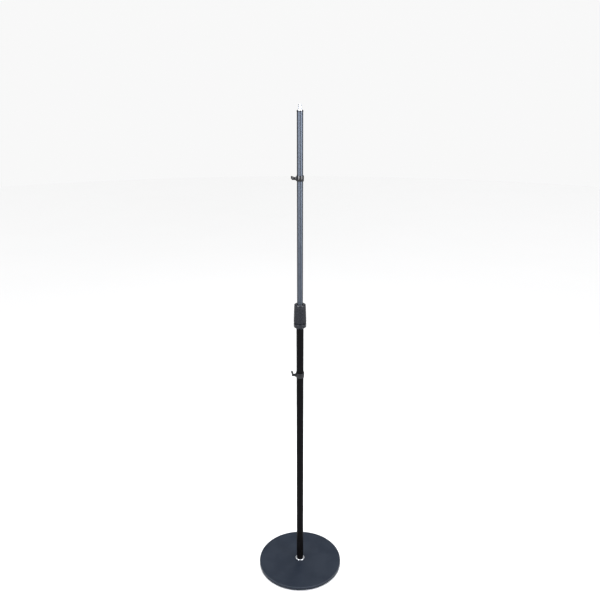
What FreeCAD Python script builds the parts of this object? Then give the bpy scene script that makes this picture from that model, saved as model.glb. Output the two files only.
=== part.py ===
import FreeCAD, Part
import math
import os

# Round-base telescopic stand: a cast base, a two-part tube mast with a twist clutch, a threaded
# stud on top, and two snap-on cable clips. Millimetres, +Z up, +Y to the back. The origin is the
# centre of the base at floor level. It is drawn with the mast partly extended and the clutch tight.

# ---------------------------------------------------------------- driving dimensions
BASE_DIAMETER = 250.0
BASE_THICKNESS = 10.0
BASE_TOP_EDGE_ROUND = 1.2
BASE_BOTTOM_EDGE_ROUND = 0.8
BASE_HOLE_CHAMFER = 0.6

FOOT_RING_INSET = 17.0  # from the plate's edge to the middle of the ring
FOOT_RING_WIDTH = 8.0
FOOT_RING_PROUD = 2.0
FOOT_RING_ROUND = 0.9
FOOT_GROOVE_DEPTH = 3.0

UPPER_TUBE_DIAMETER = 16.0
UPPER_TUBE_LENGTH = 750.0
TUBE_WALL = 1.5
TUBE_SPACE = 0.5  # between the upper tube and the bore of the lower one

SPIGOT_FLANGE_WIDTH = 4.0
SPIGOT_FLANGE_HEIGHT = 4.0
SPIGOT_FLANGE_CHAMFER = 1.2
SPIGOT_THREAD_DIAMETER = 20.0
SPIGOT_THREAD_LENGTH = 9.0
SPIGOT_PLUG_LENGTH = 26.0
SPIGOT_END_CHAMFER = 1.0

CLUTCH_TOP_HEIGHT = 850.0
MAST_EXTENSION = 500.0

CORE_HEIGHT = 45.0
CORE_FOOT_RISE = 4.0
CORE_TUBE_DEPTH = 32.0
CORE_BARREL_WALL = 2.5
CORE_NECK_WALL = 3.7
CORE_NECK_HEIGHT = 11.0
CORE_NECK_CHAMFER = 1.0
CORE_THREAD_WALL = 2.0

COLLAR_HEIGHT = 15.0
COLLAR_FOOT_WALL = 1.0
COLLAR_SLOPE_HEIGHT = 5.0
COLLAR_STEP_DEPTH = 1.5
COLLAR_SHELF_HEIGHT = 1.5
COLLAR_RIM_WIDTH = 2.5
COLLAR_EDGE_ROUND = 0.6
COLLAR_SCALLOPS = 18
COLLAR_SCALLOP_RADIUS = 2.4
COLLAR_SCALLOP_DEPTH = 0.7

GRIP_HEIGHT = 53.0
GRIP_WALL = 3.4
GRIP_TAPER = 1.7
GRIP_NECK_GAP = 2.0
GRIP_BOTTOM_CHAMFER = 1.8
GRIP_BOTTOM_ROUND = 1.5
GRIP_TOP_ROUND = 2.8
GRIP_LIP_WIDTH = 2.2
GRIP_LIP_DEPTH = 0.9
GRIP_FLUTES = 32
GRIP_FLUTE_RADIUS = 1.2
GRIP_FLUTE_DEPTH = 0.7
GRIP_FLUTE_TOP_MARGIN = 6.5

NUT_HEIGHT = 15.0
NUT_ABOVE_GRIP_BOTTOM = 11.0

COLLET_HEIGHT = 15.5
COLLET_WALL = 3.1
COLLET_CONE_HEIGHT = 5.6
COLLET_TAPER_DEG = 20.0
COLLET_SLOTS = 6
COLLET_SLOT_WIDTH = 1.2
COLLET_WEB = 2.5

PRESSURE_RING_HEIGHT = 6.5

GUIDE_PLUG_LENGTH = 24.0
GUIDE_FLANGE_HEIGHT = 2.0
GUIDE_NECK_STEP = 1.0
GUIDE_HEAD_HEIGHT = 3.0
GUIDE_HEAD_CHAMFER = 1.0
GUIDE_BUSH_LENGTH = 20.0
GUIDE_BUSH_SLIT = 1.0

END_RING_OVERHANG = 0.5
END_RING_HEIGHT = 3.0
END_RING_ROUND = 0.8
STUD_PLUG_LENGTH = 22.0
STUD_NECK_STEP = 1.0
STUD_FLANGE_STEP = 0.7
STUD_FLANGE_HEIGHT = 1.6
STUD_DIAMETER = 9.525
STUD_LENGTH = 13.0
STUD_CHAMFER = 1.0

CLIP_HEIGHT = 14.0
CLIP_WALL = 2.0
CLIP_MOUTH_HALF_DEG = 50.0
CLIP_LIP_RADIUS = 3.0
CLIP_LIP_TURN_DEG = 105.0
HOOK_HEIGHT = 7.2
HOOK_THICKNESS = 2.6
HOOK_SPAN = 10.9
HOOK_FORWARD = 2.0
HOOK_CORNER_RADIUS = 3.2
HOOK_STRAIGHT = 8.2
HOOK_STRAIGHT_ROUND = 4.5
HOOK_BUMP_IN = 2.6
HOOK_BUMP_LENGTH = 4.6
HOOK_BUMP_ROUND = 3.6
HOOK_TIP_OUT = 2.2
HOOK_TIP_LENGTH = 7.5
HOOK_WEB_LENGTH = 5.0
HOOK_WEB_RADIUS = 4.0
HOOK_WEB_SHOULDER = 2.0
HOOK_POCKET_LENGTH = 3.2
HOOK_POCKET_WIDTH = 1.2
HOOK_POCKET_DEPTH = 0.7
UPPER_CLIP_ABOVE_CLUTCH = 337.0
LOWER_CLIP_BELOW_CLUTCH = 140.0

# ---------------------------------------------------------------- clearances
SEAT_GAP = 0.02      # pressed, glued or screwed together
THREAD_GAP = 0.12    # around a clamping or fixing thread
RUNNING_GAP = 0.05   # a piece that turns or slides in another
FREE_GAP = 0.30      # moving pieces that nothing guides
CONE_GAP = 0.10      # between the collet's cones and their seats
CLIP_GAP = 0.08      # around a tube in its clip
CUT_MARGIN = 1.0     # how far a cutting tool runs past the surface

# ---------------------------------------------------------------- derived levels
BASE_BOTTOM = FOOT_RING_PROUD
BASE_TOP = BASE_BOTTOM + BASE_THICKNESS
LOWER_TUBE_BOTTOM = BASE_TOP + SPIGOT_FLANGE_HEIGHT

CLUTCH_BOTTOM = CLUTCH_TOP_HEIGHT - (COLLAR_HEIGHT + GRIP_NECK_GAP + GRIP_HEIGHT)
COLLAR_TOP = CLUTCH_BOTTOM + COLLAR_HEIGHT
COLLAR_SHELF = COLLAR_TOP - COLLAR_STEP_DEPTH - COLLAR_SHELF_HEIGHT
GRIP_BOTTOM = COLLAR_TOP + GRIP_NECK_GAP
CORE_BOTTOM = CLUTCH_BOTTOM + CORE_FOOT_RISE
CORE_SHOULDER = CLUTCH_BOTTOM + CORE_TUBE_DEPTH
CORE_TOP = CLUTCH_BOTTOM + CORE_HEIGHT
LOWER_TUBE_TOP = CORE_SHOULDER - SEAT_GAP
COLLET_BOTTOM = CORE_TOP - COLLET_CONE_HEIGHT
COLLET_TOP = COLLET_BOTTOM + COLLET_HEIGHT
PRESSURE_RING_BOTTOM = COLLET_TOP - COLLET_CONE_HEIGHT + CONE_GAP
PRESSURE_RING_TOP = PRESSURE_RING_BOTTOM + PRESSURE_RING_HEIGHT
NUT_BOTTOM = GRIP_BOTTOM + NUT_ABOVE_GRIP_BOTTOM
NUT_TOP = NUT_BOTTOM + NUT_HEIGHT

UPPER_TUBE_TOP = CLUTCH_TOP_HEIGHT + MAST_EXTENSION
UPPER_TUBE_BOTTOM = UPPER_TUBE_TOP - UPPER_TUBE_LENGTH

# ---------------------------------------------------------------- derived radii
FOOT_RING_DIAMETER = BASE_DIAMETER - 2 * FOOT_RING_INSET
UPPER_TUBE_RADIUS = UPPER_TUBE_DIAMETER / 2
UPPER_BORE_RADIUS = UPPER_TUBE_RADIUS - TUBE_WALL
LOWER_BORE_RADIUS = UPPER_TUBE_RADIUS + TUBE_SPACE
LOWER_TUBE_RADIUS = LOWER_BORE_RADIUS + TUBE_WALL
PASSAGE_RADIUS = UPPER_TUBE_RADIUS + FREE_GAP

CORE_BARREL_RADIUS = LOWER_TUBE_RADIUS + CORE_BARREL_WALL
CORE_NECK_RADIUS = LOWER_TUBE_RADIUS + CORE_NECK_WALL
CORE_THREAD_RADIUS = LOWER_TUBE_RADIUS + CORE_THREAD_WALL
GRIP_BORE_RADIUS = CORE_NECK_RADIUS + FREE_GAP
GRIP_BOTTOM_RADIUS = GRIP_BORE_RADIUS + GRIP_WALL
GRIP_TOP_RADIUS = GRIP_BOTTOM_RADIUS - GRIP_TAPER
COLLAR_RADIUS = GRIP_BOTTOM_RADIUS
COLLET_BORE_RADIUS = UPPER_TUBE_RADIUS + RUNNING_GAP
COLLET_RADIUS = COLLET_BORE_RADIUS + COLLET_WALL
CONE_SLOPE = math.tan(math.radians(COLLET_TAPER_DEG))
COLLET_END_RADIUS = COLLET_RADIUS - COLLET_CONE_HEIGHT * CONE_SLOPE
CONE_SEAT_RADIUS = COLLET_RADIUS + CONE_GAP
CONE_SEAT_DEPTH = (CONE_SEAT_RADIUS - PASSAGE_RADIUS) / CONE_SLOPE


# ---------------------------------------------------------------- shaping helpers
def across(a, b):
    """A point of a lathe profile: a is the radius and b is the height."""
    return FreeCAD.Vector(a, 0, b)


def plan(a, b):
    """A point of a plan outline: a runs along X and b along Y."""
    return FreeCAD.Vector(a, b, 0)


def rounded_wire(corners, place, closed=True):
    """Straight runs joined by tangent arcs.

    corners holds (a, b) or (a, b, radius) and place turns a and b into a point in space.
    """
    points = [place(corner[0], corner[1]) for corner in corners]
    radii = [corner[2] if len(corner) > 2 else 0 for corner in corners]
    count = len(points)
    edges = []
    start = None
    first = None
    for index in range(count):
        point = points[index]
        radius = radii[index]
        at_end = not closed and index in (0, count - 1)
        if radius == 0 or at_end:
            arrive = leave = point
            middle = None
        else:
            back = (points[index - 1] - point).normalize()
            ahead = (points[(index + 1) % count] - point).normalize()
            half_angle = back.getAngle(ahead) / 2
            inward = (back + ahead).normalize()
            reach = radius / math.tan(half_angle)
            arrive = point + back * reach
            leave = point + ahead * reach
            middle = point + inward * (radius / math.sin(half_angle) - radius)
        if start is not None and start.distanceToPoint(arrive) > Part.Precision.confusion():
            edges.append(Part.makeLine(start, arrive))
        if middle is not None:
            edges.append(Part.Arc(arrive, middle, leave).toShape())
        if first is None:
            first = arrive
        start = leave
    if closed and start.distanceToPoint(first) > Part.Precision.confusion():
        edges.append(Part.makeLine(start, first))
    return Part.Wire(edges)


def lathe(corners):
    """A solid turned about the Z axis from a closed (radius, height) profile."""
    profile = Part.Face(rounded_wire(corners, across))
    return profile.revolve(FreeCAD.Vector(0, 0, 0), FreeCAD.Vector(0, 0, 1), 360)


def around(shape, count):
    """Evenly turned copies of a shape about the Z axis, the first one half a step round."""
    step = 360.0 / count
    copies = []
    for index in range(count):
        copy = shape.copy()
        copy.rotate(FreeCAD.Vector(0, 0, 0), FreeCAD.Vector(0, 0, 1), (index + 0.5) * step)
        copies.append(copy)
    return copies


def round_ended_rod(radius, low, high):
    """A rod between two (distance from the Z axis, height) places, with a ball end at the high one."""
    start = across(*low)
    run = across(*high) - start
    quarter = radius * math.sin(math.radians(45))
    profile = Part.Wire([
        Part.makeLine(across(0, 0), across(radius, 0)),
        Part.makeLine(across(radius, 0), across(radius, run.Length)),
        Part.Arc(across(radius, run.Length), across(quarter, run.Length + quarter),
                 across(0, run.Length + radius)).toShape(),
        Part.makeLine(across(0, run.Length + radius), across(0, 0)),
    ])
    rod = Part.Face(profile).revolve(FreeCAD.Vector(0, 0, 0), FreeCAD.Vector(0, 0, 1), 360)
    rod.Placement = FreeCAD.Placement(start, FreeCAD.Rotation(FreeCAD.Vector(0, 0, 1), run))
    return rod


def ribbon(wire, half_width):
    """A flat face that follows an open wire, with round ends."""
    return Part.Face(wire.makeOffset2D(half_width))


# ---------------------------------------------------------------- base
def base_plate():
    """The cast plate, with a tapped centre hole and a groove below for the rubber ring."""
    rim = BASE_DIAMETER / 2
    hole = SPIGOT_THREAD_DIAMETER / 2 + THREAD_GAP
    groove_inner = (FOOT_RING_DIAMETER - FOOT_RING_WIDTH) / 2
    groove_outer = (FOOT_RING_DIAMETER + FOOT_RING_WIDTH) / 2
    return lathe([
        (hole, BASE_BOTTOM),
        (groove_inner, BASE_BOTTOM),
        (groove_inner, BASE_BOTTOM + FOOT_GROOVE_DEPTH),
        (groove_outer, BASE_BOTTOM + FOOT_GROOVE_DEPTH),
        (groove_outer, BASE_BOTTOM),
        (rim, BASE_BOTTOM, BASE_BOTTOM_EDGE_ROUND),
        (rim, BASE_TOP, BASE_TOP_EDGE_ROUND),
        (hole + BASE_HOLE_CHAMFER, BASE_TOP),
        (hole, BASE_TOP - BASE_HOLE_CHAMFER),
    ])


def rubber_foot_ring():
    """The rubber ring that the stand rests on, pressed into the groove of the base."""
    inner = (FOOT_RING_DIAMETER - FOOT_RING_WIDTH) / 2 + SEAT_GAP
    outer = (FOOT_RING_DIAMETER + FOOT_RING_WIDTH) / 2 - SEAT_GAP
    top = BASE_BOTTOM + FOOT_GROOVE_DEPTH - SEAT_GAP
    return lathe([
        (inner, 0, FOOT_RING_ROUND),
        (outer, 0, FOOT_RING_ROUND),
        (outer, top),
        (inner, top),
    ])


def foot_spigot():
    """The turned spigot: a thread in the base, a bright flange, and a plug in the lower tube."""
    thread = SPIGOT_THREAD_DIAMETER / 2
    flange = LOWER_TUBE_RADIUS + SPIGOT_FLANGE_WIDTH
    plug = LOWER_BORE_RADIUS - SEAT_GAP
    thread_bottom = BASE_TOP - SPIGOT_THREAD_LENGTH
    flange_bottom = BASE_TOP + SEAT_GAP
    flange_top = LOWER_TUBE_BOTTOM - SEAT_GAP
    plug_top = LOWER_TUBE_BOTTOM + SPIGOT_PLUG_LENGTH
    return lathe([
        (0, thread_bottom),
        (thread - SPIGOT_END_CHAMFER, thread_bottom),
        (thread, thread_bottom + SPIGOT_END_CHAMFER),
        (thread, flange_bottom),
        (flange, flange_bottom),
        (flange, flange_top - SPIGOT_FLANGE_CHAMFER),
        (flange - SPIGOT_FLANGE_CHAMFER, flange_top),
        (plug, flange_top),
        (plug, plug_top - SPIGOT_END_CHAMFER),
        (plug - SPIGOT_END_CHAMFER, plug_top),
        (0, plug_top),
    ])


# ---------------------------------------------------------------- tubes
def tube(outer_radius, bottom, top):
    """A plain steel tube."""
    inner_radius = outer_radius - TUBE_WALL
    return lathe([
        (inner_radius, bottom),
        (outer_radius, bottom),
        (outer_radius, top),
        (inner_radius, top),
    ])


def lower_tube():
    return tube(LOWER_TUBE_RADIUS, LOWER_TUBE_BOTTOM, LOWER_TUBE_TOP)


def upper_tube():
    return tube(UPPER_TUBE_RADIUS, UPPER_TUBE_BOTTOM, UPPER_TUBE_TOP)


# ---------------------------------------------------------------- clutch
def clutch_core():
    """The fixed body of the clutch: tube socket, neck, male thread and the collet's lower seat."""
    socket = LOWER_TUBE_RADIUS + SEAT_GAP
    neck_top = COLLAR_SHELF + CORE_NECK_HEIGHT
    return lathe([
        (socket, CORE_BOTTOM),
        (CORE_BARREL_RADIUS, CORE_BOTTOM),
        (CORE_BARREL_RADIUS, COLLAR_SHELF),
        (CORE_NECK_RADIUS, COLLAR_SHELF),
        (CORE_NECK_RADIUS, neck_top - CORE_NECK_CHAMFER),
        (CORE_NECK_RADIUS - CORE_NECK_CHAMFER, neck_top),
        (CORE_THREAD_RADIUS, neck_top),
        (CORE_THREAD_RADIUS, CORE_TOP),
        (CONE_SEAT_RADIUS, CORE_TOP),
        (PASSAGE_RADIUS, CORE_TOP - CONE_SEAT_DEPTH),
        (PASSAGE_RADIUS, CORE_SHOULDER),
        (socket, CORE_SHOULDER),
    ])


def clutch_collar():
    """The stepped ring round the foot of the clutch, scalloped on its sloping underside."""
    tube_hole = LOWER_TUBE_RADIUS + RUNNING_GAP
    foot = tube_hole + COLLAR_FOOT_WALL
    rim = COLLAR_RADIUS - COLLAR_RIM_WIDTH
    neck = CORE_NECK_RADIUS + SEAT_GAP
    barrel = CORE_BARREL_RADIUS + SEAT_GAP
    wall_bottom = CLUTCH_BOTTOM + COLLAR_SLOPE_HEIGHT
    body = lathe([
        (tube_hole, CLUTCH_BOTTOM),
        (foot, CLUTCH_BOTTOM),
        (COLLAR_RADIUS, wall_bottom, COLLAR_EDGE_ROUND),
        (COLLAR_RADIUS, COLLAR_TOP, COLLAR_EDGE_ROUND),
        (rim, COLLAR_TOP, COLLAR_EDGE_ROUND),
        (rim, COLLAR_TOP - COLLAR_STEP_DEPTH),
        (neck, COLLAR_TOP - COLLAR_STEP_DEPTH),
        (neck, COLLAR_SHELF - SEAT_GAP),
        (barrel, COLLAR_SHELF - SEAT_GAP),
        (barrel, CORE_BOTTOM - SEAT_GAP),
        (tube_hole, CORE_BOTTOM - SEAT_GAP),
    ])
    slope = math.atan2(COLLAR_SLOPE_HEIGHT, COLLAR_RADIUS - foot)
    offset = COLLAR_SCALLOP_RADIUS - COLLAR_SCALLOP_DEPTH
    out = offset * math.sin(slope)
    down = offset * math.cos(slope)
    low = (foot + out, CLUTCH_BOTTOM - down)
    high = (COLLAR_RADIUS + out, wall_bottom - down)
    return body.cut(around(round_ended_rod(COLLAR_SCALLOP_RADIUS, low, high), COLLAR_SCALLOPS))


def clutch_grip():
    """The fluted, slightly tapered sleeve that is turned by hand."""
    chamber = CORE_THREAD_RADIUS + FREE_GAP
    nut_seat_top = NUT_TOP + SEAT_GAP
    roof = PRESSURE_RING_TOP + RUNNING_GAP
    body = lathe([
        (GRIP_BORE_RADIUS, GRIP_BOTTOM),
        (GRIP_BOTTOM_RADIUS - GRIP_BOTTOM_CHAMFER, GRIP_BOTTOM),
        (GRIP_BOTTOM_RADIUS, GRIP_BOTTOM + GRIP_BOTTOM_CHAMFER, GRIP_BOTTOM_ROUND),
        (GRIP_TOP_RADIUS, CLUTCH_TOP_HEIGHT, GRIP_TOP_ROUND),
        (PASSAGE_RADIUS + GRIP_LIP_WIDTH, CLUTCH_TOP_HEIGHT),
        (PASSAGE_RADIUS, CLUTCH_TOP_HEIGHT - GRIP_LIP_DEPTH),
        (PASSAGE_RADIUS, roof),
        (chamber, roof),
        (chamber, nut_seat_top),
        (GRIP_BORE_RADIUS, nut_seat_top),
    ])
    slope = GRIP_TAPER / GRIP_HEIGHT
    offset = GRIP_FLUTE_RADIUS - GRIP_FLUTE_DEPTH
    rise = GRIP_HEIGHT - GRIP_FLUTE_TOP_MARGIN
    low = (GRIP_BOTTOM_RADIUS + offset + slope * CUT_MARGIN, GRIP_BOTTOM - CUT_MARGIN)
    high = (GRIP_BOTTOM_RADIUS + offset - slope * rise, GRIP_BOTTOM + rise)
    return body.cut(around(round_ended_rod(GRIP_FLUTE_RADIUS, low, high), GRIP_FLUTES))


def clutch_nut():
    """The threaded insert pressed into the grip."""
    bore = CORE_THREAD_RADIUS + THREAD_GAP
    outer = GRIP_BORE_RADIUS - SEAT_GAP
    return lathe([
        (bore, NUT_BOTTOM),
        (outer, NUT_BOTTOM),
        (outer, NUT_TOP),
        (bore, NUT_TOP),
    ])


def collet():
    """The double cone that clamps the upper tube, slotted from each end in turn."""
    body = lathe([
        (COLLET_BORE_RADIUS, COLLET_BOTTOM),
        (COLLET_END_RADIUS, COLLET_BOTTOM),
        (COLLET_RADIUS, COLLET_BOTTOM + COLLET_CONE_HEIGHT),
        (COLLET_RADIUS, COLLET_TOP - COLLET_CONE_HEIGHT),
        (COLLET_END_RADIUS, COLLET_TOP),
        (COLLET_BORE_RADIUS, COLLET_TOP),
    ])
    slot_height = COLLET_HEIGHT - COLLET_WEB + CUT_MARGIN
    slot_levels = (COLLET_BOTTOM - CUT_MARGIN, COLLET_BOTTOM + COLLET_WEB)
    slots = []
    for index in range(COLLET_SLOTS):
        corner = FreeCAD.Vector(0, -COLLET_SLOT_WIDTH / 2, slot_levels[index % 2])
        slot = Part.makeBox(COLLET_RADIUS + CUT_MARGIN, COLLET_SLOT_WIDTH, slot_height, corner)
        turn = 360.0 * (index + 0.5) / COLLET_SLOTS
        slot.rotate(FreeCAD.Vector(0, 0, 0), FreeCAD.Vector(0, 0, 1), turn)
        slots.append(slot)
    return body.cut(slots)


def pressure_ring():
    """The cone ring that pushes the collet down and lets the grip turn on it."""
    return lathe([
        (CONE_SEAT_RADIUS, PRESSURE_RING_BOTTOM),
        (CORE_THREAD_RADIUS, PRESSURE_RING_BOTTOM),
        (CORE_THREAD_RADIUS, PRESSURE_RING_TOP),
        (CONE_SEAT_RADIUS - PRESSURE_RING_HEIGHT * CONE_SLOPE, PRESSURE_RING_TOP),
    ])


# ---------------------------------------------------------------- inside the mast
def guide_plug():
    """The plug pressed in the low end of the upper tube, with a neck that carries the bush."""
    plug = UPPER_BORE_RADIUS - SEAT_GAP
    flange = UPPER_TUBE_RADIUS
    neck = UPPER_BORE_RADIUS - GUIDE_NECK_STEP
    flange_top = UPPER_TUBE_BOTTOM - SEAT_GAP
    flange_bottom = flange_top - GUIDE_FLANGE_HEIGHT
    head_top = flange_bottom - GUIDE_BUSH_LENGTH - 2 * RUNNING_GAP
    head_bottom = head_top - GUIDE_HEAD_HEIGHT
    return lathe([
        (0, head_bottom),
        (flange - GUIDE_HEAD_CHAMFER, head_bottom),
        (flange, head_bottom + GUIDE_HEAD_CHAMFER),
        (flange, head_top),
        (neck, head_top),
        (neck, flange_bottom),
        (flange, flange_bottom),
        (flange, flange_top),
        (plug, flange_top),
        (plug, UPPER_TUBE_BOTTOM + GUIDE_PLUG_LENGTH),
        (0, UPPER_TUBE_BOTTOM + GUIDE_PLUG_LENGTH),
    ])


def guide_bush():
    """The slit bush that snaps over the plug's neck and slides in the lower tube."""
    bore = UPPER_BORE_RADIUS - GUIDE_NECK_STEP + RUNNING_GAP
    outer = LOWER_BORE_RADIUS - RUNNING_GAP
    top = UPPER_TUBE_BOTTOM - SEAT_GAP - GUIDE_FLANGE_HEIGHT - RUNNING_GAP
    bottom = top - GUIDE_BUSH_LENGTH
    ring = lathe([
        (bore, bottom),
        (outer, bottom),
        (outer, top),
        (bore, top),
    ])
    slit = Part.makeBox(
        outer + CUT_MARGIN,
        GUIDE_BUSH_SLIT,
        GUIDE_BUSH_LENGTH + 2 * CUT_MARGIN,
        FreeCAD.Vector(0, -GUIDE_BUSH_SLIT / 2, bottom - CUT_MARGIN),
    )
    return ring.cut(slit)


# ---------------------------------------------------------------- top end
def tube_end_ring():
    """The plastic ring that covers the cut end of the upper tube."""
    hole = UPPER_BORE_RADIUS - STUD_NECK_STEP + SEAT_GAP
    outer = UPPER_TUBE_RADIUS + END_RING_OVERHANG
    bottom = UPPER_TUBE_TOP + SEAT_GAP
    top = UPPER_TUBE_TOP + END_RING_HEIGHT
    return lathe([
        (hole, bottom),
        (outer, bottom),
        (outer, top, END_RING_ROUND),
        (hole, top),
    ])


def top_stud():
    """The turned insert in the upper tube, with a flange and the threaded stud."""
    plug = UPPER_BORE_RADIUS - SEAT_GAP
    neck = UPPER_BORE_RADIUS - STUD_NECK_STEP
    flange = UPPER_TUBE_RADIUS - STUD_FLANGE_STEP
    stud = STUD_DIAMETER / 2
    flange_bottom = UPPER_TUBE_TOP + END_RING_HEIGHT + SEAT_GAP
    flange_top = flange_bottom + STUD_FLANGE_HEIGHT
    stud_top = flange_top + STUD_LENGTH
    return lathe([
        (0, UPPER_TUBE_TOP - STUD_PLUG_LENGTH),
        (plug, UPPER_TUBE_TOP - STUD_PLUG_LENGTH),
        (plug, UPPER_TUBE_TOP),
        (neck, UPPER_TUBE_TOP),
        (neck, flange_bottom),
        (flange, flange_bottom),
        (flange, flange_top),
        (stud, flange_top),
        (stud, stud_top - STUD_CHAMFER),
        (stud - STUD_CHAMFER, stud_top),
        (0, stud_top),
    ])


# ---------------------------------------------------------------- cable clips
def clip_jaw(ring_radius, side):
    """Half of the ring's centreline, from the front to a flared lip. side is 1 or -1."""
    mouth = math.radians(CLIP_MOUTH_HALF_DEG)
    quarter = (math.pi + mouth) / 2
    flare = math.radians(CLIP_LIP_TURN_DEG)

    def on_ring(angle):
        return plan(side * ring_radius * math.sin(angle), ring_radius * math.cos(angle))

    lip_distance = ring_radius + CLIP_LIP_RADIUS
    lip_centre = plan(side * lip_distance * math.sin(mouth), lip_distance * math.cos(mouth))

    def on_lip(turn):
        angle = mouth + turn
        return lip_centre - plan(side * CLIP_LIP_RADIUS * math.sin(angle), CLIP_LIP_RADIUS * math.cos(angle))

    ring_arc = Part.Arc(on_ring(math.pi), on_ring(quarter), on_ring(mouth)).toShape()
    lip_arc = Part.Arc(on_lip(0), on_lip(flare / 2), on_lip(flare)).toShape()
    return [ring_arc, lip_arc]


def hook_wire(ring_radius):
    """The hook's centreline: out to the left, round a corner, back, in over a bump and out."""
    start = -ring_radius
    reach = -(ring_radius + HOOK_SPAN)
    arm = -HOOK_FORWARD
    bump = arm + HOOK_STRAIGHT + HOOK_BUMP_LENGTH
    return rounded_wire([
        (start, arm),
        (reach, arm, HOOK_CORNER_RADIUS),
        (reach, arm + HOOK_STRAIGHT, HOOK_STRAIGHT_ROUND),
        (reach + HOOK_BUMP_IN, bump, HOOK_BUMP_ROUND),
        (reach - HOOK_TIP_OUT, bump + HOOK_TIP_LENGTH),
    ], plan, closed=False)


def clip_envelope(ring_outer):
    """What the clip keeps, seen from the front: full height at the ring, lower along the hook."""
    far = ring_outer + HOOK_SPAN + HOOK_TIP_LENGTH
    tall = CLIP_HEIGHT / 2
    low = HOOK_HEIGHT / 2
    web_start = ring_outer - HOOK_WEB_LENGTH / 2
    web_end = ring_outer + HOOK_WEB_LENGTH / 2
    face = Part.Face(rounded_wire([
        (far, -tall),
        (far, tall),
        (-web_start, tall, HOOK_WEB_SHOULDER),
        (-web_end, low, HOOK_WEB_RADIUS),
        (-far, low),
        (-far, -low),
        (-web_end, -low, HOOK_WEB_RADIUS),
        (-web_start, -tall, HOOK_WEB_SHOULDER),
    ], across))
    face.translate(FreeCAD.Vector(0, -far, 0))
    return face.extrude(FreeCAD.Vector(0, 2 * far, 0))


def hook_pocket(left):
    """The outline of the oval pocket along the arm of the hook, from its left end."""
    half = HOOK_POCKET_WIDTH / 2
    right = left + HOOK_POCKET_LENGTH
    front = -HOOK_FORWARD - half
    back = -HOOK_FORWARD + half
    return Part.Face(Part.Wire([
        Part.makeLine(plan(left, front), plan(right, front)),
        Part.Arc(plan(right, front), plan(right + half, -HOOK_FORWARD), plan(right, back)).toShape(),
        Part.makeLine(plan(right, back), plan(left, back)),
        Part.Arc(plan(left, back), plan(left - half, -HOOK_FORWARD), plan(left, front)).toShape(),
    ]))


def cable_clip(tube_radius, height):
    """A snap-on clip: a ring open to the back and a cable hook to the left, centred at a height."""
    ring_inner = tube_radius + CLIP_GAP
    ring_radius = ring_inner + CLIP_WALL / 2
    right, left = clip_jaw(ring_radius, 1), clip_jaw(ring_radius, -1)
    jaws = Part.Wire([right[1], right[0], left[0], left[1]])
    up = FreeCAD.Vector(0, 0, CLIP_HEIGHT)
    ring = ribbon(jaws, CLIP_WALL / 2).extrude(up)
    hook = ribbon(hook_wire(ring_radius), HOOK_THICKNESS / 2).extrude(up)
    hook = hook.cut(Part.makeCylinder(ring_radius, CLIP_HEIGHT))
    body = ring.fuse(hook)
    body.translate(FreeCAD.Vector(0, 0, -CLIP_HEIGHT / 2))
    body = body.common(clip_envelope(ring_inner + CLIP_WALL))
    pocket = hook_pocket(-(ring_radius + HOOK_SPAN - HOOK_CORNER_RADIUS))
    for side in (-1, 1):
        floor = side * (HOOK_HEIGHT / 2 - HOOK_POCKET_DEPTH)
        cutter = pocket.extrude(FreeCAD.Vector(0, 0, side * (HOOK_POCKET_DEPTH + CUT_MARGIN)))
        cutter.translate(FreeCAD.Vector(0, 0, floor))
        body = body.cut(cutter)
    body = body.removeSplitter()
    body.translate(FreeCAD.Vector(0, 0, height))
    return body


def upper_clip():
    return cable_clip(UPPER_TUBE_RADIUS, CLUTCH_TOP_HEIGHT + UPPER_CLIP_ABOVE_CLUTCH)


def lower_clip():
    return cable_clip(LOWER_TUBE_RADIUS, CLUTCH_BOTTOM - LOWER_CLIP_BELOW_CLUTCH)


PIECES = [
    base_plate, rubber_foot_ring, foot_spigot, lower_tube, upper_tube,
    clutch_core, clutch_collar, clutch_grip, clutch_nut, collet, pressure_ring,
    guide_plug, guide_bush, tube_end_ring, top_stud, upper_clip, lower_clip,
]

os.makedirs("parts", exist_ok=True)
for piece in PIECES:
    shape = piece()
    shape.exportStep(f"parts/{piece.__name__}.step")
    print(piece.__name__, len(shape.Solids), "solid,", round(shape.Volume / 1000, 2), "cm3,",
          "valid" if shape.isValid() else "NOT VALID")
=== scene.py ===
"""Looks of a round-base telescopic stand.

It makes the finishes, the threads, the clips' eased mouldings and a plain studio.
"""

import logging
import math
from dataclasses import dataclass, field
from enum import Enum
from typing import ClassVar, Iterable, Optional, Sequence, Union

import bmesh
import bpy
from mathutils import Matrix, Vector


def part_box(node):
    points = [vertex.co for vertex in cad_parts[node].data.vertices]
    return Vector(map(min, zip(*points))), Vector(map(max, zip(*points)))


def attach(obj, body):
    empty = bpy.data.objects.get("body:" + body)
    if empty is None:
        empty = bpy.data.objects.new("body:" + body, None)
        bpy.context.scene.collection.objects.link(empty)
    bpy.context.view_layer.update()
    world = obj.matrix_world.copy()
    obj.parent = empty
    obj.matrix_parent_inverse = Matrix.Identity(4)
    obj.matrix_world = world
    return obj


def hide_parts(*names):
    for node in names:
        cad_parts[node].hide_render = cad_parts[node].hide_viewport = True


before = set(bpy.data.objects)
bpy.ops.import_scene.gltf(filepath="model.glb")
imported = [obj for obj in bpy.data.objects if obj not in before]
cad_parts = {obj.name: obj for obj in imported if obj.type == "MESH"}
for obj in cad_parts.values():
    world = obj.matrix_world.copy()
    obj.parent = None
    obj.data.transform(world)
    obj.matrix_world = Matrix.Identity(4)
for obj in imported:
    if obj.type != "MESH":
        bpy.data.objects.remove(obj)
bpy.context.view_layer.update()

MM = 0.001
MERGE_DISTANCE = 0.002 * MM
FULL_TURN = math.tau
Z_AXIS = (0.0, 0.0, 1.0)

log = logging.getLogger("stand")

Colour = tuple[float, float, float]
Point = tuple[float, float, float]
Band = tuple[float, float]
Number = Union["Value", float]


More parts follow.
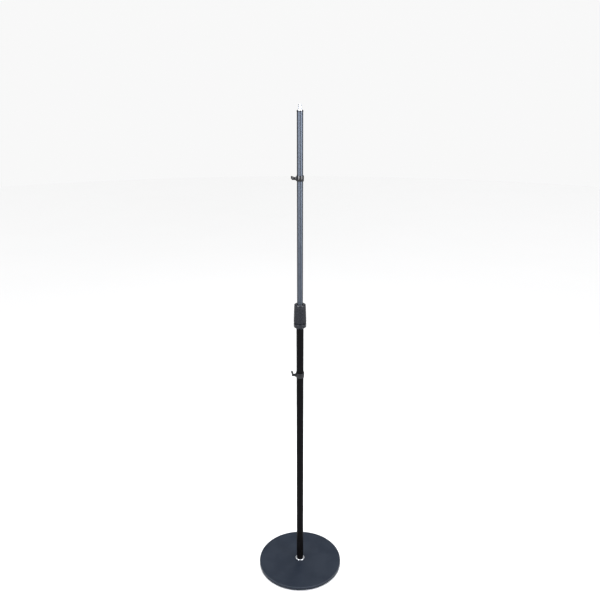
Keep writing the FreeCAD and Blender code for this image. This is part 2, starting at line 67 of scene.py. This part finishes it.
# ---------------------------------------------------------------- shader graph
class Value:
    """A number that varies over a surface. Arithmetic on it adds Math nodes."""

    def __init__(self, graph: "Graph", socket: bpy.types.NodeSocket) -> None:
        """Wraps a socket.

        Args:
            graph: the graph that the socket's node is in.
            socket: the output socket.
        """
        self.graph = graph
        self.socket = socket

    def _math(self, operation: str, first: Number, second: Number) -> "Value":
        """Adds one Math node.

        Args:
            operation: the Math node's operation.
            first: its first input.
            second: its second input.

        Returns:
            The node's result.
        """
        node = self.graph.node("ShaderNodeMath", {"operation": operation}, {0: first, 1: second})
        return Value(self.graph, node.outputs[0])

    def __add__(self, other: Number) -> "Value":
        """self + other."""
        return self._math("ADD", self, other)

    __radd__ = __add__

    def __mul__(self, other: Number) -> "Value":
        """self * other."""
        return self._math("MULTIPLY", self, other)

    __rmul__ = __mul__

    def __pow__(self, other: Number) -> "Value":
        """self to the power of other."""
        return self._math("POWER", self, other)

    def sine(self) -> "Value":
        """The sine of an angle in radians."""
        return self._math("SINE", self, 0.0)

    def band(self, start: float, end: float) -> "Value":
        """A smooth rise from 0 at start to 1 at end.

        Args:
            start: where the rise begins.
            end: where it ends, which may be the smaller one.

        Returns:
            The rise, from 0 to 1.
        """
        node = self.graph.node(
            "ShaderNodeMapRange",
            {"interpolation_type": "SMOOTHSTEP"},
            {"Value": self, "From Min": start, "From Max": end},
        )
        return Value(self.graph, node.outputs["Result"])


class Graph:
    """The node tree of one material."""

    def __init__(self, name: str) -> None:
        """Starts an empty material.

        Args:
            name: the material's name.
        """
        self.material = bpy.data.materials.new(name)
        self.material.use_nodes = True
        self.tree = self.material.node_tree
        self.tree.nodes.clear()
        self.place = self.node("ShaderNodeTexCoord").outputs["Object"]

    def node(
        self, kind: str, settings: Optional[dict] = None, inputs: Optional[dict] = None
    ) -> bpy.types.Node:
        """Adds a node, with its settings first and then its sockets.

        Args:
            kind: the node's type.
            settings: attributes of the node by name.
            inputs: values, Values or sockets by socket name or number.

        Returns:
            The node.
        """
        node = self.tree.nodes.new(kind)
        for name, setting in (settings or {}).items():
            setattr(node, name, setting)
        for name, given in (inputs or {}).items():
            source = given.socket if isinstance(given, Value) else given
            if isinstance(source, bpy.types.NodeSocket):
                self.tree.links.new(source, node.inputs[name])
            else:
                node.inputs[name].default_value = source
        return node

    def noise(
        self, grain: float, detail: float = 2.0, stretch: Sequence[float] = (1.0, 1.0, 1.0)
    ) -> Value:
        """Seamless noise of a given size.

        Args:
            grain: the size of its features in metres.
            detail: how many finer layers it has.
            stretch: how much closer the features are along each axis.

        Returns:
            The noise, around 0.5.
        """
        scale = tuple(share / grain for share in stretch)
        scaled = self.node("ShaderNodeMapping", {}, {"Vector": self.place, "Scale": scale})
        node = self.node(
            "ShaderNodeTexNoise", {}, {"Vector": scaled.outputs[0], "Scale": 1.0, "Detail": detail}
        )
        return Value(self, node.outputs[0])

    def axes(self) -> tuple[Value, Value, Value]:
        """The place on the piece, in metres, as three numbers."""
        node = self.node("ShaderNodeSeparateXYZ", {}, {0: self.place})
        return tuple(Value(self, output) for output in node.outputs)

    def radius(self) -> Value:
        """The distance from the mast's axis in metres."""
        x, y, _ = self.axes()
        return (x * x + y * y) ** 0.5

    def blend(self, low: Colour, high: Colour, share: Value) -> bpy.types.NodeSocket:
        """A colour between two colours.

        Args:
            low: the colour where share is 0.
            high: the colour where share is 1.
            share: how much of high there is.

        Returns:
            The mixed colour's socket.
        """
        node = self.node(
            "ShaderNodeMix",
            {"data_type": "RGBA"},
            {"Factor": share, 6: (*low, 1.0), 7: (*high, 1.0)},
        )
        return node.outputs[2]

    def bump(self, height: Value, depth: float, strength: float) -> bpy.types.NodeSocket:
        """A relief.

        Args:
            height: the relief, from 0 to 1.
            depth: how deep it is in metres.
            strength: how much of it shows.

        Returns:
            The normal's socket.
        """
        node = self.node(
            "ShaderNodeBump", {}, {"Strength": strength, "Distance": depth, "Height": height}
        )
        return node.outputs[0]

    def surface(self, inputs: dict) -> bpy.types.Material:
        """Ends the graph in one shader.

        Args:
            inputs: the shader's values and links by socket name.

        Returns:
            The finished material.
        """
        shader = self.node("ShaderNodeBsdfPrincipled", {}, inputs)
        self.node("ShaderNodeOutputMaterial", {}, {"Surface": shader.outputs[0]})
        return self.material


# ---------------------------------------------------------------- finishes
@dataclass(frozen=True)
class Finish:
    """A finish of the stand, and the record's slot that it dresses."""

    slot: str
    shade: Colour
    # The colour that a finish's marks tint towards. On the powder coat it is also the colour of
    # the painted highlight.
    second_tone: Colour
    roughness: float

    def material(self) -> bpy.types.Material:
        """Makes the finish's material."""
        raise NotImplementedError


@dataclass(frozen=True)
class PowderCoat(Finish):
    """Satin powder coat over cast iron: fine orange peel, soft clouds, and a thin rim line that is
    partly wear and partly painted highlight.
    """

    specular: float
    peel: float
    rim: float
    rim_top: float

    PEEL_DEPTH: ClassVar[float] = 0.05 * MM
    PEEL_SHOWS: ClassVar[float] = 0.35
    PEEL_ROUGHNESS: ClassVar[float] = 0.08
    CLOUD_SIZE: ClassVar[float] = 45 * MM
    CLOUD_BAND: ClassVar[Band] = (0.3, 0.7)
    CLOUD_TINT: ClassVar[float] = 0.10
    CLOUD_ROUGHNESS: ClassVar[float] = 0.10
    SPECK_SIZE: ClassVar[float] = 1.4 * MM
    SPECK_BAND: ClassVar[Band] = (0.70, 0.78)
    SPECK_TINT: ClassVar[float] = 0.05
    RIM_WIDTH: ClassVar[float] = 1.4 * MM
    EDGE_BELOW_TOP: ClassVar[Band] = (1.6 * MM, 0.3 * MM)
    PATCH_SIZE: ClassVar[float] = 6 * MM
    PATCH_BAND: ClassVar[Band] = (0.42, 0.62)
    PATCH_SHARE: ClassVar[float] = 0.4
    # The rim line never falls below this share, so the painted highlight runs unbroken all round.
    WEAR_AND_HIGHLIGHT_LEAST: ClassVar[float] = 0.6
    WEAR_AND_HIGHLIGHT_TINT: ClassVar[float] = 0.85
    WEAR_ROUGHNESS: ClassVar[float] = -0.10
    MEAN_NOISE: ClassVar[float] = 0.09

    def material(self) -> bpy.types.Material:
        """Makes the coat's material."""
        graph = Graph(self.slot)
        peel = graph.noise(self.peel, 3.0)
        clouds = graph.noise(self.CLOUD_SIZE, 3.0)
        specks = graph.noise(self.SPECK_SIZE, 1.0).band(*self.SPECK_BAND)
        _, _, height = graph.axes()
        rim_wear_and_highlight = graph.radius().band(self.rim - self.RIM_WIDTH, self.rim)
        top_edge = height.band(*(self.rim_top - below for below in self.EDGE_BELOW_TOP))
        patches = graph.noise(self.PATCH_SIZE, 4.0).band(*self.PATCH_BAND)
        # The rim's top edge is tinted lighter all round: partly wear, partly a painted highlight
        # line.
        wear_and_highlight = rim_wear_and_highlight * top_edge * (patches * self.PATCH_SHARE + self.WEAR_AND_HIGHLIGHT_LEAST)
        tint = (
            clouds.band(*self.CLOUD_BAND) * self.CLOUD_TINT
            + wear_and_highlight * self.WEAR_AND_HIGHLIGHT_TINT
            + specks * self.SPECK_TINT
        )
        roughness = (
            peel * self.PEEL_ROUGHNESS
            + clouds * self.CLOUD_ROUGHNESS
            + (self.roughness - self.MEAN_NOISE)
            + wear_and_highlight * self.WEAR_ROUGHNESS
        )
        return graph.surface({
            "Base Color": graph.blend(self.shade, self.second_tone, tint),
            "Roughness": roughness,
            "Specular IOR Level": self.specular,
            "Normal": graph.bump(peel, self.PEEL_DEPTH, self.PEEL_SHOWS),
        })


@dataclass(frozen=True)
class TubeCoat(Finish):
    """A smooth coat on a drawn tube: faint draw lines along it and fine rub marks."""

    specular: float
    metallic: float
    relief: float

    DRAW_SIZE: ClassVar[float] = 1.1 * MM
    DRAW_STRETCH: ClassVar[Point] = (1.0, 1.0, 0.012)
    DRAW_TINT: ClassVar[float] = 0.45
    DRAW_ROUGHNESS: ClassVar[float] = 0.06
    DRAW_RELIEF: ClassVar[float] = 0.7
    RUB_SIZE: ClassVar[float] = 9 * MM
    RUB_STRETCH: ClassVar[Point] = (1.0, 1.0, 0.25)
    RUB_BAND: ClassVar[Band] = (0.48, 0.72)
    RUB_TINT: ClassVar[float] = 0.35
    RUB_ROUGHNESS: ClassVar[float] = 0.05
    PEEL_SIZE: ClassVar[float] = 1.6 * MM
    PEEL_RELIEF: ClassVar[float] = 0.3
    RELIEF_DEPTH: ClassVar[float] = 0.02 * MM
    MEAN_NOISE: ClassVar[float] = 0.05

    def material(self) -> bpy.types.Material:
        """Makes the coat's material."""
        graph = Graph(self.slot)
        draw = graph.noise(self.DRAW_SIZE, 2.0, self.DRAW_STRETCH)
        rubs = graph.noise(self.RUB_SIZE, 4.0, self.RUB_STRETCH).band(*self.RUB_BAND)
        peel = graph.noise(self.PEEL_SIZE, 1.0)
        tint = draw * self.DRAW_TINT + rubs * self.RUB_TINT
        roughness = (
            draw * self.DRAW_ROUGHNESS
            + rubs * self.RUB_ROUGHNESS
            + (self.roughness - self.MEAN_NOISE)
        )
        height = draw * self.DRAW_RELIEF + peel * self.PEEL_RELIEF
        return graph.surface({
            "Base Color": graph.blend(self.shade, self.second_tone, tint),
            "Roughness": roughness,
            "Metallic": self.metallic,
            "Specular IOR Level": self.specular,
            "Normal": graph.bump(height, self.RELIEF_DEPTH, self.relief),
        })


@dataclass(frozen=True)
class Moulding(Finish):
    """Moulded plastic: an even grain, faint flow marks, and handling shine where it is rubbed."""

    grain: float
    grain_depth: float
    coat: float
    specular: float

    GRAIN_SHOWS: ClassVar[float] = 0.45
    GRAIN_ROUGHNESS: ClassVar[float] = 0.10
    FLOW_SIZE: ClassVar[float] = 11 * MM
    FLOW_STRETCH: ClassVar[Point] = (1.0, 1.0, 0.4)
    FLOW_TINT: ClassVar[float] = 0.5
    SHINE_SIZE: ClassVar[float] = 5 * MM
    SHINE_BAND: ClassVar[Band] = (0.45, 0.70)
    SHINE_TINT: ClassVar[float] = 0.25
    SHINE_ROUGHNESS: ClassVar[float] = -0.07
    COAT_ROUGHNESS: ClassVar[float] = 0.12
    MEAN_NOISE: ClassVar[float] = 0.02

    def material(self) -> bpy.types.Material:
        """Makes the plastic's material."""
        graph = Graph(self.slot)
        grain = graph.noise(self.grain, 2.0)
        flow = graph.noise(self.FLOW_SIZE, 3.0, self.FLOW_STRETCH)
        shine = graph.noise(self.SHINE_SIZE, 3.0).band(*self.SHINE_BAND)
        tint = flow * self.FLOW_TINT + shine * self.SHINE_TINT
        roughness = (
            grain * self.GRAIN_ROUGHNESS
            + (self.roughness - self.MEAN_NOISE)
            + shine * self.SHINE_ROUGHNESS
        )
        return graph.surface({
            "Base Color": graph.blend(self.shade, self.second_tone, tint),
            "Roughness": roughness,
            "Specular IOR Level": self.specular,
            "Coat Weight": self.coat,
            "Coat Roughness": self.COAT_ROUGHNESS,
            "Normal": graph.bump(grain, self.grain_depth, self.GRAIN_SHOWS),
        })


@dataclass(frozen=True)
class Plating(Finish):
    """Bare or plated metal turned on a lathe: rings of tool marks and a cloudy tone."""

    ring_pitch: float

    RING_DEPTH: ClassVar[float] = 0.012 * MM
    RING_SHOWS: ClassVar[float] = 0.35
    TONE_SIZE: ClassVar[float] = 3.5 * MM
    TONE_BAND: ClassVar[Band] = (0.35, 0.7)
    TONE_TINT: ClassVar[float] = 0.6
    TONE_ROUGHNESS: ClassVar[float] = 0.12
    SPOT_SIZE: ClassVar[float] = 0.9 * MM
    SPOT_BAND: ClassVar[Band] = (0.60, 0.75)
    SPOT_TINT: ClassVar[float] = 0.25
    SPOT_ROUGHNESS: ClassVar[float] = 0.10
    MEAN_NOISE: ClassVar[float] = 0.06

    def material(self) -> bpy.types.Material:
        """Makes the metal's material."""
        graph = Graph(self.slot)
        _, _, height = graph.axes()
        rings = ((graph.radius() + height) * (FULL_TURN / self.ring_pitch)).sine() * 0.5 + 0.5
        tone = graph.noise(self.TONE_SIZE, 3.0)
        spots = graph.noise(self.SPOT_SIZE, 2.0).band(*self.SPOT_BAND)
        tint = tone.band(*self.TONE_BAND) * self.TONE_TINT + spots * self.SPOT_TINT
        roughness = (
            tone * self.TONE_ROUGHNESS
            + spots * self.SPOT_ROUGHNESS
            + (self.roughness - self.MEAN_NOISE)
        )
        return graph.surface({
            "Base Color": graph.blend(self.shade, self.second_tone, tint),
            "Roughness": roughness,
            "Metallic": 1.0,
            "Normal": graph.bump(rings, self.RING_DEPTH, self.RING_SHOWS),
        })


@dataclass(frozen=True)
class Rubber(Finish):
    """Matt rubber: a fine bloom, dust, and a soft pebbled skin."""

    SKIN_SIZE: ClassVar[float] = 0.5 * MM
    SKIN_DEPTH: ClassVar[float] = 0.05 * MM
    SKIN_SHOWS: ClassVar[float] = 0.6
    SKIN_TINT: ClassVar[float] = 0.2
    SKIN_ROUGHNESS: ClassVar[float] = 0.10
    BLOOM_SIZE: ClassVar[float] = 8 * MM
    BLOOM_BAND: ClassVar[Band] = (0.45, 0.75)
    BLOOM_TINT: ClassVar[float] = 0.6
    BLOOM_ROUGHNESS: ClassVar[float] = 0.06
    SPECULAR: ClassVar[float] = 0.25

    def material(self) -> bpy.types.Material:
        """Makes the rubber's material."""
        graph = Graph(self.slot)
        skin = graph.noise(self.SKIN_SIZE, 3.0)
        bloom = graph.noise(self.BLOOM_SIZE, 4.0).band(*self.BLOOM_BAND)
        tint = bloom * self.BLOOM_TINT + skin * self.SKIN_TINT
        roughness = skin * self.SKIN_ROUGHNESS + bloom * self.BLOOM_ROUGHNESS + self.roughness
        return graph.surface({
            "Base Color": graph.blend(self.shade, self.second_tone, tint),
            "Roughness": roughness,
            "Specular IOR Level": self.SPECULAR,
            "Normal": graph.bump(skin, self.SKIN_DEPTH, self.SKIN_SHOWS),
        })


class Finishes:
    """Every finish of the stand, each made once."""

    def __init__(self, rim: float, rim_top: float) -> None:
        """Makes the finishes.

        Args:
            rim: the base's outer radius in metres.
            rim_top: the height of the base's top face in metres.
        """
        made: tuple[Finish, ...] = (
            # The powder coat's second tone is also the colour of the painted highlight along the
            # rim's top edge.
            PowderCoat("powder_coated_iron", (0.0068, 0.0108, 0.0190), (0.046, 0.056, 0.072), 0.42,
                       0.15, 0.55 * MM, rim, rim_top),
            Rubber("rubber", (0.010, 0.010, 0.011), (0.030, 0.030, 0.031), 0.78),
            Plating("zinc", (0.74, 0.77, 0.81), (0.60, 0.63, 0.67), 0.24, 0.35 * MM),
            TubeCoat("black_steel", (0.0022, 0.0021, 0.0024), (0.0052, 0.0050, 0.0054), 0.44,
                     0.03, 0.0, 0.08),
            TubeCoat("satin_steel", (0.052, 0.060, 0.074), (0.070, 0.080, 0.096), 0.46,
                     0.5, 1.0, 0.02),
            Moulding("clutch_plastic", (0.0028, 0.0034, 0.0062), (0.0085, 0.0096, 0.0148), 0.26,
                     0.32 * MM, 0.02 * MM, 0.0, 0.40),
            Plating("brass", (0.70, 0.50, 0.22), (0.52, 0.36, 0.15), 0.28, 0.40 * MM),
            Moulding("white_plastic", (0.74, 0.73, 0.69), (0.62, 0.61, 0.57), 0.38,
                     0.40 * MM, 0.02 * MM, 0.0, 0.5),
            Moulding("clip_plastic", (0.0020, 0.0022, 0.0034), (0.0030, 0.0034, 0.0050), 0.24,
                     0.90 * MM, 0.010 * MM, 0.0, 0.40),
        )
        self.materials = {finish.slot: finish.material() for finish in made}

    def dress(self, node: str) -> None:
        """Gives a carried-over node its finish.

        Args:
            node: the node's name, whose own slot names the finish.
        """
        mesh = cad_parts[node].data
        for index, old in enumerate(mesh.materials):
            mesh.materials[index] = self.materials[old.name.split(".")[0]]
        log.info("%s: carried over, dressed", node)


# ---------------------------------------------------------------- piece making
class Shape:
    """A mesh in the making.

    A thread's tooth is told in shares of its pitch: the root ends at ROOT_END, and the crest
    lies between CREST_START and CREST_END. Spare turns go past both ends and are cut off.
    """

    ROOT_END = 0.25
    CREST_START = 0.5625
    CREST_END = 0.6875
    SPARE_TURNS = 3
    TURNS_BELOW = 2
    FLAT_DEGREES = 0.8

    def __init__(self) -> None:
        """Starts an empty shape."""
        self.bm = bmesh.new()

    def turn(self, profile: Sequence[tuple[float, float]], steps: int) -> None:
        """Spins a (radius, height) line round the mast's axis.

        Args:
            profile: the line's points, from the axis or closed on itself by its ends.
            steps: how many steps the full turn takes.
        """
        line = [self.bm.verts.new((radius, 0.0, height)) for radius, height in profile]
        edges = [self.bm.edges.new(pair) for pair in zip(line, line[1:])]
        bmesh.ops.spin(
            self.bm, geom=line + edges, cent=(0, 0, 0), axis=Z_AXIS, angle=FULL_TURN,
            steps=steps, use_merge=True, use_duplicate=False,
        )
        self.close()

    def thread(
        self, major: float, minor: float, pitch: float, low: float, high: float, chamfer: float,
        steps: int,
    ) -> None:
        """Adds a right-handed screw thread between two heights, chamfered at both ends.

        Args:
            major: the crest's radius.
            minor: the root's radius.
            pitch: the rise of one turn.
            low: the lower end's height.
            high: the upper end's height.
            chamfer: how far from each end the crests start to fall away.
            steps: how many steps a turn takes.
        """
        tooth = (
            (minor, 0.0),
            (minor, self.ROOT_END),
            (major, self.CREST_START),
            (major, self.CREST_END),
        )
        turns = math.ceil((high - low) / pitch) + self.SPARE_TURNS
        start = low - self.TURNS_BELOW * pitch
        bm = bmesh.new()
        line = [
            bm.verts.new((radius, 0.0, start + (turn + share) * pitch))
            for turn in range(turns)
            for radius, share in tooth
        ]
        edges = [bm.edges.new(pair) for pair in zip(line, line[1:])]
        bmesh.ops.spin(
            bm, geom=line + edges, cent=(0, 0, 0), axis=Z_AXIS, dvec=(0, 0, pitch / steps),
            angle=FULL_TURN, steps=steps, use_merge=False, use_duplicate=False,
        )
        bmesh.ops.remove_doubles(bm, verts=bm.verts, dist=MERGE_DISTANCE)
        for height, way in ((low, -1), (high, 1)):
            everything = bm.verts[:] + bm.edges[:] + bm.faces[:]
            bmesh.ops.bisect_plane(
                bm, geom=everything, dist=MERGE_DISTANCE, plane_co=(0, 0, height),
                plane_no=(0, 0, way), clear_outer=True,
            )
        bmesh.ops.holes_fill(bm, edges=[edge for edge in bm.edges if edge.is_boundary], sides=0)
        for vert in bm.verts:
            from_end = min(vert.co.z - low, high - vert.co.z)
            most = major - max(0.0, chamfer - from_end)
            reach = math.hypot(vert.co.x, vert.co.y)
            if reach > most:
                vert.co.x *= most / reach
                vert.co.y *= most / reach
        bmesh.ops.recalc_face_normals(bm, faces=bm.faces)
        scratch = bpy.data.meshes.new("thread")
        bm.to_mesh(scratch)
        bm.free()
        self.bm.from_mesh(scratch)
        bpy.data.meshes.remove(scratch)

    def copy_node(self, node: str) -> None:
        """Takes over a node's mesh, merged and with its flat faces whole.

        Args:
            node: the node's name.
        """
        self.bm.from_mesh(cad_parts[node].data)
        bmesh.ops.remove_doubles(self.bm, verts=self.bm.verts, dist=MERGE_DISTANCE)
        bmesh.ops.dissolve_limit(
            self.bm, angle_limit=math.radians(self.FLAT_DEGREES),
            verts=self.bm.verts, edges=self.bm.edges,
        )

    def ease(self, width: float, sharper_than: float, segments: int) -> None:
        """Rounds the sharp edges.

        Args:
            width: how far the rounding reaches from each edge.
            sharper_than: the least angle in degrees that counts as sharp.
            segments: how many facets the rounding has.
        """
        limit = math.radians(sharper_than)
        sharp = [edge for edge in self.bm.edges if edge.calc_face_angle(0.0) > limit]
        bmesh.ops.bevel(
            self.bm, geom=sharp, offset=width, offset_type="OFFSET", affect="EDGES",
            segments=segments, profile=0.5, material=-1, clamp_overlap=True,
        )

    def close(self) -> None:
        """Merges seams and poles, and turns the faces outwards."""
        bmesh.ops.remove_doubles(self.bm, verts=self.bm.verts, dist=MERGE_DISTANCE)
        bmesh.ops.recalc_face_normals(self.bm, faces=self.bm.faces)

    def piece(
        self, name: str, body: str, slot: str, finishes: Finishes, replaced: Iterable[str],
        crease: float,
    ) -> None:
        """Makes the shape a piece that rides on a body.

        Args:
            name: the piece's name.
            body: the body that it rides on.
            slot: the record's slot that it takes its finish from.
            finishes: the stand's finishes.
            replaced: the nodes that it stands for.
            crease: the angle in degrees past which an edge stays sharp.
        """
        for face in self.bm.faces:
            face.smooth = True
        for edge in self.bm.edges:
            edge.smooth = edge.calc_face_angle(0.0) < math.radians(crease)
        loose = sum(not edge.is_manifold for edge in self.bm.edges)
        mesh = bpy.data.meshes.new(name)
        self.bm.to_mesh(mesh)
        self.bm.free()
        mesh.materials.clear()
        mesh.materials.append(finishes.materials[slot])
        made = bpy.data.objects.new(name, mesh)
        bpy.context.scene.collection.objects.link(made)
        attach(made, body)
        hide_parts(*replaced)
        log.info("%s: %d faces, %d open edges, rides on %s", name, len(mesh.polygons), loose, body)


# ---------------------------------------------------------------- sub-assemblies
@dataclass
class SubAssembly:
    """A group of the stand's pieces, some of them carried over from CAD."""

    finishes: Finishes
    carried: tuple[str, ...] = ()

    def dress(self) -> None:
        """Dresses the carried-over nodes."""
        for node in self.carried:
            self.finishes.dress(node)


@dataclass
class RoundBase(SubAssembly):
    """The heavy plate, its rubber ring, and the plated spigot that holds the mast."""

    carried: tuple[str, ...] = ("base_plate", "rubber_foot_ring")
    thread_pitch: float = 1.5 * MM
    thread_depth: float = 0.92 * MM
    thread_radius: float = 10.0 * MM
    plug_radius: float = 8.48 * MM
    flange_chamfer: float = 1.2 * MM
    end_chamfer: float = 1.0 * MM
    flange_edge: float = 0.4 * MM
    seat: float = 0.02 * MM
    thread_overlap: float = 0.5 * MM
    edge_width: float = 0.15 * MM
    sharp_angle: float = 30.0
    segments: int = 2
    crease: float = 35.0
    steps: int = 96

    def build(self) -> None:
        """Makes the threaded spigot."""
        low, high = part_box("foot_spigot")
        plate_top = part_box("base_plate")[1].z
        tube_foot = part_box("lower_tube")[0].z
        flange_low = plate_top + self.seat
        flange_high = tube_foot - self.seat
        shape = Shape()
        shape.turn(
            (
                (0.0, flange_low),
                (high.x - self.flange_edge, flange_low),
                (high.x, flange_low + self.flange_edge),
                (high.x, flange_high - self.flange_chamfer),
                (high.x - self.flange_chamfer, flange_high),
                (self.plug_radius, flange_high),
                (self.plug_radius, high.z - self.end_chamfer),
                (self.plug_radius - self.end_chamfer, high.z),
                (0.0, high.z),
            ),
            self.steps,
        )
        shape.ease(self.edge_width, self.sharp_angle, self.segments)
        shape.thread(
            self.thread_radius, self.thread_radius - self.thread_depth, self.thread_pitch,
            low.z, flange_low + self.thread_overlap, self.thread_depth, self.steps,
        )
        shape.piece(
            "threaded_foot_spigot", "stand", "zinc", self.finishes, ("foot_spigot",), self.crease
        )


@dataclass
class Mast(SubAssembly):
    """The two tubes, what closes the upper one, and the stud on its top."""

    carried: tuple[str, ...] = (
        "lower_tube", "upper_tube", "guide_plug", "guide_bush", "tube_end_ring",
    )
    thread_pitch: float = 25.4 / 16 * MM
    thread_radius: float = 4.7625 * MM
    thread_depth: float = 0.95 * MM
    plug_radius: float = 6.48 * MM
    flange_height: float = 1.6 * MM
    ring_clearance: float = 0.02 * MM
    flange_low_edge: float = 0.2 * MM
    flange_high_edge: float = 0.4 * MM
    thread_overlap: float = 0.5 * MM
    end_chamfer: float = 0.9 * MM
    edge_width: float = 0.12 * MM
    sharp_angle: float = 30.0
    segments: int = 2
    crease: float = 35.0
    steps: int = 72

    def build(self) -> None:
        """Makes the threaded top stud."""
        low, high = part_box("top_stud")
        flange_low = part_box("tube_end_ring")[1].z + self.ring_clearance
        flange_high = flange_low + self.flange_height
        shape = Shape()
        shape.turn(
            (
                (0.0, low.z),
                (self.plug_radius - self.end_chamfer, low.z),
                (self.plug_radius, low.z + self.end_chamfer),
                (self.plug_radius, flange_low),
                (high.x - self.flange_low_edge, flange_low),
                (high.x, flange_low + self.flange_low_edge),
                (high.x, flange_high - self.flange_high_edge),
                (high.x - self.flange_high_edge, flange_high),
                (0.0, flange_high),
            ),
            self.steps,
        )
        shape.ease(self.edge_width, self.sharp_angle, self.segments)
        shape.thread(
            self.thread_radius, self.thread_radius - self.thread_depth, self.thread_pitch,
            flange_high - self.thread_overlap, high.z, self.thread_depth, self.steps,
        )
        shape.piece(
            "threaded_top_stud", "upper_mast", "zinc", self.finishes, ("top_stud",), self.crease
        )


@dataclass
class TwistClutch(SubAssembly):
    """The fluted grip, its collar and core, and the collet that it squeezes."""

    carried: tuple[str, ...] = (
        "clutch_core", "clutch_collar", "clutch_grip", "clutch_nut", "collet", "pressure_ring",
    )


class ClipPlace(Enum):
    """Which tube a cable clip is on."""

    UPPER = "upper"
    LOWER = "lower"


@dataclass
class CableClip:
    """A sprung clip with a hook for a cable, its moulded edges eased."""

    finishes: Finishes
    place: ClipPlace
    edge_width: float = 0.30 * MM
    sharp_angle: float = 40.0
    segments: int = 2
    crease: float = 50.0

    def build(self) -> None:
        """Makes the eased clip."""
        node = f"{self.place.value}_clip"
        shape = Shape()
        shape.copy_node(node)
        shape.ease(self.edge_width, self.sharp_angle, self.segments)
        shape.piece(
            f"eased_{node}", f"{self.place.value}_cable_clip", "clip_plastic", self.finishes,
            (node,), self.crease,
        )


# ---------------------------------------------------------------- studio
@dataclass(frozen=True)
class SoftBox:
    """A rectangular light of limited spread, aimed at a point."""

    name: str
    place: Point
    aim: Point
    width: float
    height: float
    power: float
    tint: Colour
    spread_degrees: float = 72.0

    def build(self) -> None:
        """Makes the light."""
        light = bpy.data.lights.new(self.name, "AREA")
        light.shape = "RECTANGLE"
        light.size = self.width
        light.size_y = self.height
        light.energy = self.power
        light.color = self.tint
        light.spread = math.radians(self.spread_degrees)
        holder = bpy.data.objects.new(self.name, light)
        holder.location = self.place
        away = Vector(self.place) - Vector(self.aim)
        holder.rotation_euler = away.to_track_quat("Z", "Y").to_euler()
        bpy.context.scene.collection.objects.link(holder)


@dataclass
class Studio:
    """A pale floor and backdrop, three soft boxes, a broad high light, and the camera."""

    floor_radius: float = 9.0
    floor_shade: Colour = (0.80, 0.80, 0.80)
    floor_fade: float = 0.985
    floor_grain: float = 0.6
    floor_roughness: float = 0.9
    floor_steps: int = 96
    sky: Colour = (1.0, 1.0, 1.0)
    backdrop_strength: float = 0.94
    fill_strength: float = 0.45
    sun_strength: float = 2.3
    sun_spread: float = 40.0
    sun_tilt: float = -10.0
    eye: Point = (0.0, -1.64, 1.41)
    level_degrees: float = 90.0
    pitch_degrees: float = -18.5
    lens: float = 38.4
    sensor_width: float = 36.0
    boxes: tuple[SoftBox, ...] = field(default_factory=lambda: (
        SoftBox("left_box", (-1.45, -1.95, 1.60), (0.0, 0.0, 1.22), 1.60, 1.9, 25.0,
                (0.93, 0.95, 1.0)),
        SoftBox("right_box", (1.75, -1.35, 1.60), (0.0, 0.0, 1.22), 1.50, 1.9, 22.0,
                (0.93, 0.95, 1.0)),
        SoftBox("top_box", (0.0, 0.6, 3.0), (0.0, 0.0, 0.0), 2.0, 2.0, 10.0, (0.95, 0.97, 1.0)),
    ))

    def build_floor(self) -> None:
        """Makes the floor, a wide disc."""
        graph = Graph("pale_floor")
        tone = graph.noise(self.floor_grain)
        pale = tuple(channel * self.floor_fade for channel in self.floor_shade)
        material = graph.surface({
            "Base Color": graph.blend(self.floor_shade, pale, tone),
            "Roughness": self.floor_roughness,
        })
        bm = bmesh.new()
        bmesh.ops.create_circle(
            bm, cap_ends=True, radius=self.floor_radius, segments=self.floor_steps
        )
        mesh = bpy.data.meshes.new("floor")
        bm.to_mesh(mesh)
        bm.free()
        mesh.materials.append(material)
        floor = bpy.data.objects.new("floor", mesh)
        bpy.context.scene.collection.objects.link(floor)

    def build_light(self) -> None:
        """Makes the backdrop, which shows brighter than it lights, and the lights."""
        world = bpy.data.worlds.new("studio")
        world.use_nodes = True
        tree = world.node_tree
        ground = tree.nodes["Background"]
        ground.inputs["Color"].default_value = (*self.sky, 1.0)
        seen = tree.nodes.new("ShaderNodeLightPath")
        strength = tree.nodes.new("ShaderNodeMapRange")
        strength.inputs["To Min"].default_value = self.fill_strength
        strength.inputs["To Max"].default_value = self.backdrop_strength
        tree.links.new(seen.outputs["Is Camera Ray"], strength.inputs["Value"])
        tree.links.new(strength.outputs["Result"], ground.inputs["Strength"])
        bpy.context.scene.world = world
        for box in self.boxes:
            box.build()
        sun = bpy.data.lights.new("high_light", "SUN")
        sun.energy = self.sun_strength
        sun.angle = math.radians(self.sun_spread)
        holder = bpy.data.objects.new("high_light", sun)
        holder.rotation_euler = (math.radians(self.sun_tilt), 0.0, math.radians(-self.sun_tilt))
        bpy.context.scene.collection.objects.link(holder)

    def build_camera(self) -> None:
        """Makes the camera, in front and near the height of the stand's top, pitched down."""
        data = bpy.data.cameras.new("camera")
        data.lens = self.lens
        data.sensor_width = self.sensor_width
        camera = bpy.data.objects.new("camera", data)
        camera.matrix_world = Matrix.Translation(self.eye) @ Matrix.Rotation(
            math.radians(self.level_degrees + self.pitch_degrees), 4, "X"
        )
        bpy.context.scene.collection.objects.link(camera)
        bpy.context.scene.camera = camera

    def build(self) -> None:
        """Makes the whole studio."""
        self.build_floor()
        self.build_light()
        self.build_camera()


def main() -> None:
    """Builds the sub-assemblies and the studio in order."""
    logging.basicConfig(level=logging.INFO, format="%(name)s %(message)s")
    bpy.context.scene.view_settings.view_transform = "Standard"
    plate_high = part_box("base_plate")[1]
    finishes = Finishes(plate_high.x, plate_high.z)
    base = RoundBase(finishes)
    base.build()
    base.dress()
    mast = Mast(finishes)
    mast.build()
    mast.dress()
    TwistClutch(finishes).dress()
    for place in ClipPlace:
        CableClip(finishes, place).build()
    Studio().build()


if __name__ == "__main__":
    main()
